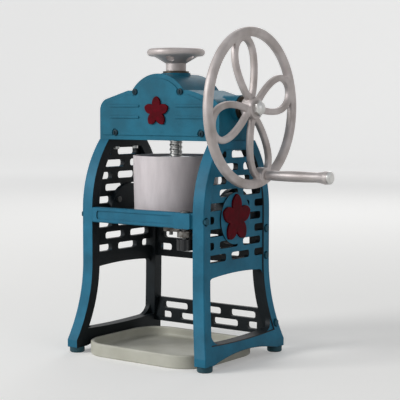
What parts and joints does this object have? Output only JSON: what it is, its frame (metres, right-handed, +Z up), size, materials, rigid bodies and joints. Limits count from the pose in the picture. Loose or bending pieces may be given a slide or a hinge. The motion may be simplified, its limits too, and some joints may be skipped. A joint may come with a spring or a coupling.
{
  "type": "hand cranked ice shaver",
  "caption": "Hand cranked ice shaver with pierced side frames, a domed gear head, a looped flywheel, a feed handwheel, an open drum over a blade table and a drip tray.",
  "frame": {"origin": "on the floor, under the middle of the frame (the feed spindle's axis)", "axes": "+X to the crank side, -Y to the front, +Z up"},
  "size_m": [0.273, 0.166, 0.3467],
  "materials": {
    "frame_paint": "teal hammer-smooth enamel, near-black inside faces",
    "head_paint": "teal enamel, slightly glossy",
    "table_paint": "near-black enamel",
    "ornament_red": "deep red enamel",
    "wheel_metal": "cast aluminium, brushed",
    "bright_steel": "turned steel",
    "spike_steel": "stainless steel",
    "gear_iron": "machined cast iron with grease",
    "bush_brass": "sintered bronze",
    "drum_white": "off-white plastic",
    "tray_beige": "beige plastic",
    "pad_rubber": "dark teal rubber",
    "knob_black": "black plastic",
    "painted_bolts": "painted over with the frame",
    "dark_screws": "dark teal screws"
  },
  "bodies": {
    "machine": {"right_side_frame": "frame_paint", "left_side_frame": "frame_paint", "front_crossbar": "frame_paint", "rear_upper_lattice": "frame_paint", "rear_lower_lattice": "frame_paint", "frame_bolts": "painted_bolts", "foot_pads": "pad_rubber", "blade_table": "table_paint", "table_screws": "bright_steel", "guide_pins": "bright_steel", "head_housing": "head_paint", "head_bolts": "bright_steel", "front_cover": "head_paint", "cover_screws": "dark_screws", "front_ornament": "ornament_red", "side_ornament": "ornament_red", "outer_shaft_bush": "bush_brass", "inner_shaft_bush": "bush_brass", "lower_gear_bush": "bush_brass", "upper_sleeve_bush": "bush_brass"},
    "crank": {"flywheel": "wheel_metal", "crank_shaft": "bright_steel", "bevel_pinion": "gear_iron", "pinion_pin": "bright_steel", "shaft_collar": "bright_steel", "hub_nut": "bright_steel", "crank_pin": "bright_steel", "pin_end_cap": "bright_steel"},
    "grip": {"handle_grip": "wheel_metal"},
    "spindle_gear": {"bevel_gear": "gear_iron", "drive_key": "bright_steel"},
    "feed": {"feed_spindle": "bright_steel", "spike_plate": "spike_steel", "plate_spikes": "spike_steel", "spindle_nut": "bright_steel"},
    "handwheel": {"feed_handwheel": "wheel_metal", "sleeve_collar": "bright_steel"},
    "drum": {"ice_drum": "drum_white"},
    "tray": {"drip_tray": "tray_beige"},
    "blade_holder": {"blade_carrier": "gear_iron", "blade": "bright_steel", "blade_screws": "bright_steel"},
    "adjuster": {"adjuster_screw": "bright_steel", "adjuster_clip": "bright_steel", "adjuster_knob": "knob_black"}
  },
  "joints": [
    {"name": "crank_turn", "type": "hinge", "parent": "machine", "child": "crank", "pos_m": [0, 0, 0.26375], "axis": [1, 0, 0], "continuous": true},
    {"name": "grip_spin", "type": "hinge", "parent": "crank", "child": "grip", "pos_m": [0.14, 0.01998, 0.19406], "axis": [1, 0, 0], "continuous": true},
    {"name": "spindle_turn", "type": "hinge", "parent": "machine", "child": "spindle_gear", "pos_m": [0, 0, 0.24], "axis": [0, 0, 1], "continuous": true},
    {"name": "handwheel_turn", "type": "hinge", "parent": "machine", "child": "handwheel", "pos_m": [0, 0, 0.32], "axis": [0, 0, 1], "range_deg": [-1188, 3204]},
    {"name": "feed_slide", "type": "slide", "parent": "spindle_gear", "child": "feed", "axis": [0, 0, 1], "range_m": [-0.0445, 0.0165]},
    {"name": "drum_lift", "type": "slide", "parent": "machine", "child": "drum", "axis": [0, 0, 1], "range_m": [0, 0.012]},
    {"name": "tray_slide", "type": "slide", "parent": "machine", "child": "tray", "axis": [0, -1, 0], "range_m": [0, 0.12]},
    {"name": "adjuster_turn", "type": "hinge", "parent": "machine", "child": "adjuster", "pos_m": [0.054, -0.057, 0.14], "axis": [0, 0, 1], "range_deg": [-180, 360]},
    {"name": "blade_lift", "type": "slide", "parent": "machine", "child": "blade_holder", "axis": [0, 0, 1], "range_m": [-0.001, 0.0005]}
  ],
  "couplings": [
    {"joint": "spindle_turn", "follows": "crank_turn", "ratio": 0.5},
    {"joint": "feed_slide", "follows": "handwheel_turn", "m_per_rad": -0.00079577},
    {"joint": "adjuster_turn", "follows": "blade_lift", "rad_per_m": -6283.2}
  ]
}
